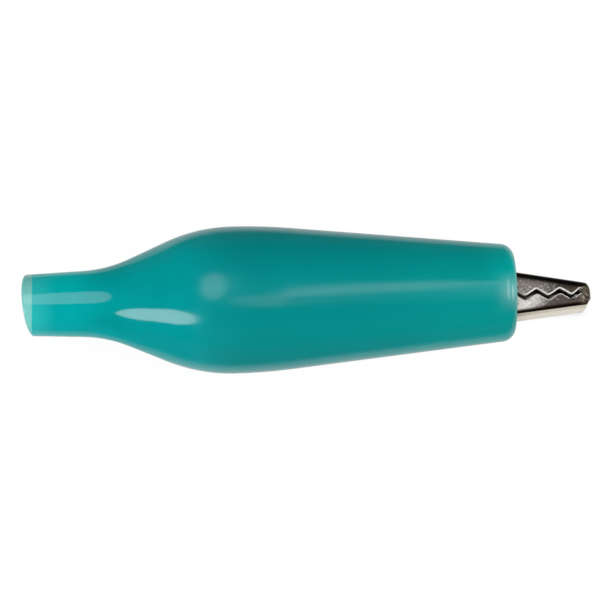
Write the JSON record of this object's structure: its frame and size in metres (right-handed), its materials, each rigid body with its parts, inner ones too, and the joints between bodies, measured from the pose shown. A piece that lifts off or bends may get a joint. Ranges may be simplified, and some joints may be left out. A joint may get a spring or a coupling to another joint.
{
  "type": "insulated crocodile clip",
  "caption": "Spring-loaded crocodile clip with toothed folded jaws in a soft bulged boot that slides back along the test lead.",
  "frame": {"origin": "centre of the boot's lead entry, on the boot's axis", "axes": "+X along the boot towards the jaws' nose, +Y on the side of the jaw with the lever, +Z along the rivet and upwards"},
  "size_m": [0.0553, 0.0144, 0.0141],
  "materials": {
    "boot": "glossy soft moulded vinyl",
    "jaw": "bright nickel plate on pressed steel",
    "rivet": "nickel plate",
    "spring": "bright spring wire",
    "screw": "turned brass"
  },
  "bodies": {
    "boot": {"boot": "boot"},
    "rivet": {"rivet": "rivet", "torsion_spring": "spring"},
    "upper_jaw": {"upper_jaw": "jaw"},
    "lower_jaw": {"lower_jaw": "jaw"},
    "terminal_screw": {"terminal_screw": "screw"}
  },
  "joints": [
    {"name": "boot_slide", "type": "slide", "parent": "boot", "child": "rivet", "axis": [1, 0, 0], "range_m": [0, 0.034], "deforming": ["boot"]},
    {"name": "lower_jaw_pivot", "type": "hinge", "parent": "rivet", "child": "lower_jaw", "pos_m": [0.041, -0.00055, 0], "axis": [0, 0, -1], "range_deg": [0, 6.7], "stiffness_Nm_per_rad": 0.008, "springref_deg": -34.38},
    {"name": "upper_jaw_pivot", "type": "hinge", "parent": "rivet", "child": "upper_jaw", "pos_m": [0.041, -0.00055, 0], "axis": [0, 0, 1], "range_deg": [0, 13.4], "stiffness_Nm_per_rad": 0.008, "springref_deg": -34.38, "deforming": ["torsion_spring"]},
    {"name": "terminal_screw_turn", "type": "hinge", "parent": "lower_jaw", "child": "terminal_screw", "pos_m": [0.0203, -0.0039, 0], "axis": [0, 1, 0], "continuous": true}
  ],
  "couplings": [
    {"joint": "lower_jaw_pivot", "follows": "upper_jaw_pivot", "ratio": 0.5}
  ]
}
